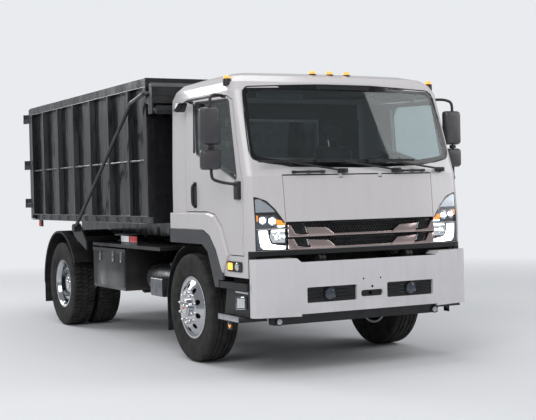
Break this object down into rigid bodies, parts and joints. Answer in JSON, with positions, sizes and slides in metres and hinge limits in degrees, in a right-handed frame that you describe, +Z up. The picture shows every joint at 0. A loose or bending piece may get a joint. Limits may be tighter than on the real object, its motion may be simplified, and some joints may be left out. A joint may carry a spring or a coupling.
{
  "type": "garbage truck",
  "caption": "Cab-over garbage truck with a tilting cab, a hooklift hoist and a black ribbed open-top container with rear gates and swinging tarp arms.",
  "frame": {"origin": "middle of the truck's box, on the ground", "axes": "+Z up; the truck faces -Y; +X is the truck's left side"},
  "size_m": [2.824, 6.587, 2.7949],
  "materials": {
    "frame_black": "satin black chassis paint",
    "cab_white": "gloss white paint with road dust",
    "box_black": "satin black paint, scuffed and dusty",
    "hoist_grey": "satin dark grey paint",
    "wheel_alloy": "polished forged aluminium",
    "tyre": "matt black rubber",
    "cast_iron": "bare cast iron with grime",
    "steel_tube": "dull steel",
    "black_plastic": "matt black plastic",
    "grey_plastic": "dark grey plastic",
    "chrome": "chrome",
    "glass": "tinted glass",
    "lamp_clear": "clear lamp cover over a silver reflector",
    "lamp_amber": "amber lens",
    "tarp": "dark woven mesh tarp",
    "seat_cloth": "dark grey seat cloth",
    "rod_chrome": "hard chrome rod"
  },
  "bodies": {
    "chassis": {"chassis_frame": "frame_black", "front_bumper": "cab_white", "front_underrun": "black_plastic", "engine_gearbox": "cast_iron", "front_axle": "frame_black", "rear_axle": "frame_black", "drive_shaft": "steel_tube", "fuel_tank": "steel_tube", "side_tool_box": "black_plastic", "exhaust_canister": "steel_tube", "air_tanks": "frame_black", "rear_fenders": "black_plastic", "front_mudguards": "black_plastic", "cab_steps": "black_plastic", "rear_lamp_bar": "frame_black", "hoist_subframe": "hoist_grey", "arm_brackets": "hoist_grey", "tarp_gantry": "hoist_grey", "tarp_roll": "tarp"},
    "knuckle_left": {"knuckle_left": "cast_iron"},
    "knuckle_right": {"knuckle_right": "cast_iron"},
    "front_wheel_left": {"front_rim_left": "wheel_alloy", "front_tyre_left": "tyre"},
    "front_wheel_right": {"front_rim_right": "wheel_alloy", "front_tyre_right": "tyre"},
    "rear_wheels_left": {"rear_rims_left": "wheel_alloy", "rear_tyres_left": "tyre"},
    "rear_wheels_right": {"rear_rims_right": "wheel_alloy", "rear_tyres_right": "tyre"},
    "cab": {"cab_roof": "cab_white", "cab_rear_wall": "cab_white", "cab_front_panels": "cab_white", "cab_floor": "frame_black", "cab_glass": "glass", "grille": "chrome", "headlamps": "lamp_clear", "cab_flares": "black_plastic", "dashboard": "grey_plastic", "seats": "seat_cloth", "wipers": "black_plastic", "marker_lamps": "lamp_amber"},
    "front_lid": {"front_lid": "cab_white"},
    "door_left": {"door_left": "cab_white", "door_glass_left": "glass", "mirrors_left": "black_plastic"},
    "door_right": {"door_right": "cab_white", "door_glass_right": "glass", "mirrors_right": "black_plastic"},
    "dump_body": {"tilt_frame": "hoist_grey", "hook_mast": "hoist_grey", "container_base": "box_black", "container_side_left": "box_black", "container_side_right": "box_black"},
    "gate_left": {"gate_left": "box_black"},
    "gate_right": {"gate_right": "box_black"},
    "tarp_arms": {"tarp_arms": "hoist_grey"},
    "lift_barrels": {"lift_barrels": "hoist_grey"},
    "lift_rods": {"lift_rods": "rod_chrome"}
  },
  "joints": [
    {"name": "steer_left", "type": "hinge", "parent": "chassis", "child": "knuckle_left", "pos_m": [0.9, -1.8935, 0.518], "axis": [0, 0, 1], "range_deg": [-35, 35]},
    {"name": "steer_right", "type": "hinge", "parent": "chassis", "child": "knuckle_right", "pos_m": [-0.9, -1.8935, 0.518], "axis": [0, 0, 1], "range_deg": [-35, 35]},
    {"name": "roll_front_left", "type": "hinge", "parent": "knuckle_left", "child": "front_wheel_left", "pos_m": [1.023, -1.8935, 0.518], "axis": [1, 0, 0], "continuous": true},
    {"name": "roll_front_right", "type": "hinge", "parent": "knuckle_right", "child": "front_wheel_right", "pos_m": [-1.023, -1.8935, 0.518], "axis": [1, 0, 0], "continuous": true},
    {"name": "roll_rear_left", "type": "hinge", "parent": "chassis", "child": "rear_wheels_left", "pos_m": [0.91, 1.9675, 0.518], "axis": [1, 0, 0], "continuous": true},
    {"name": "roll_rear_right", "type": "hinge", "parent": "chassis", "child": "rear_wheels_right", "pos_m": [-0.91, 1.9675, 0.518], "axis": [1, 0, 0], "continuous": true},
    {"name": "cab_tilt", "type": "hinge", "parent": "chassis", "child": "cab", "pos_m": [0, -3.1935, 1.01], "axis": [-1, 0, 0], "range_deg": [-45, 0]},
    {"name": "door_left_swing", "type": "hinge", "parent": "cab", "child": "door_left", "pos_m": [1.138, -3.0145, 1.36], "axis": [0, 0, -1], "range_deg": [0, 70]},
    {"name": "door_right_swing", "type": "hinge", "parent": "cab", "child": "door_right", "pos_m": [-1.138, -3.0145, 1.36], "axis": [0, 0, 1], "range_deg": [0, 70]},
    {"name": "front_lid_lift", "type": "hinge", "parent": "cab", "child": "front_lid", "pos_m": [0, -3.1315, 1.737], "axis": [-1, 0, 0], "range_deg": [0, 60]},
    {"name": "dump_tilt", "type": "hinge", "parent": "chassis", "child": "dump_body", "pos_m": [0, 2.8565, 1.02], "axis": [1, 0, 0], "range_deg": [-48, 0]},
    {"name": "gate_left_swing", "type": "hinge", "parent": "dump_body", "child": "gate_left", "pos_m": [1.264, 3.2715, 2], "axis": [0, 0, 1], "range_deg": [-265, 0]},
    {"name": "gate_right_swing", "type": "hinge", "parent": "dump_body", "child": "gate_right", "pos_m": [-1.264, 3.2715, 2], "axis": [0, 0, -1], "range_deg": [-265, 0]},
    {"name": "tarp_arm_swing", "type": "hinge", "parent": "chassis", "child": "tarp_arms", "pos_m": [0, 1.0565, 1.235], "axis": [-1, 0, 0], "range_deg": [0, 110]},
    {"name": "lift_barrel_swing", "type": "hinge", "parent": "chassis", "child": "lift_barrels", "pos_m": [0, -0.5935, 0.9], "axis": [1, 0, 0], "range_deg": [0, 9.5]},
    {"name": "lift_rod_slide", "type": "slide", "parent": "lift_barrels", "child": "lift_rods", "axis": [0, 0.9979, 0.0642], "range_m": [0, 0.3]}
  ],
  "couplings": [
    {"joint": "steer_right", "follows": "steer_left", "ratio": 1},
    {"joint": "lift_barrel_swing", "follows": "dump_tilt", "ratio": -0.179},
    {"joint": "lift_rod_slide", "follows": "dump_tilt", "m_per_rad": -0.326}
  ]
}
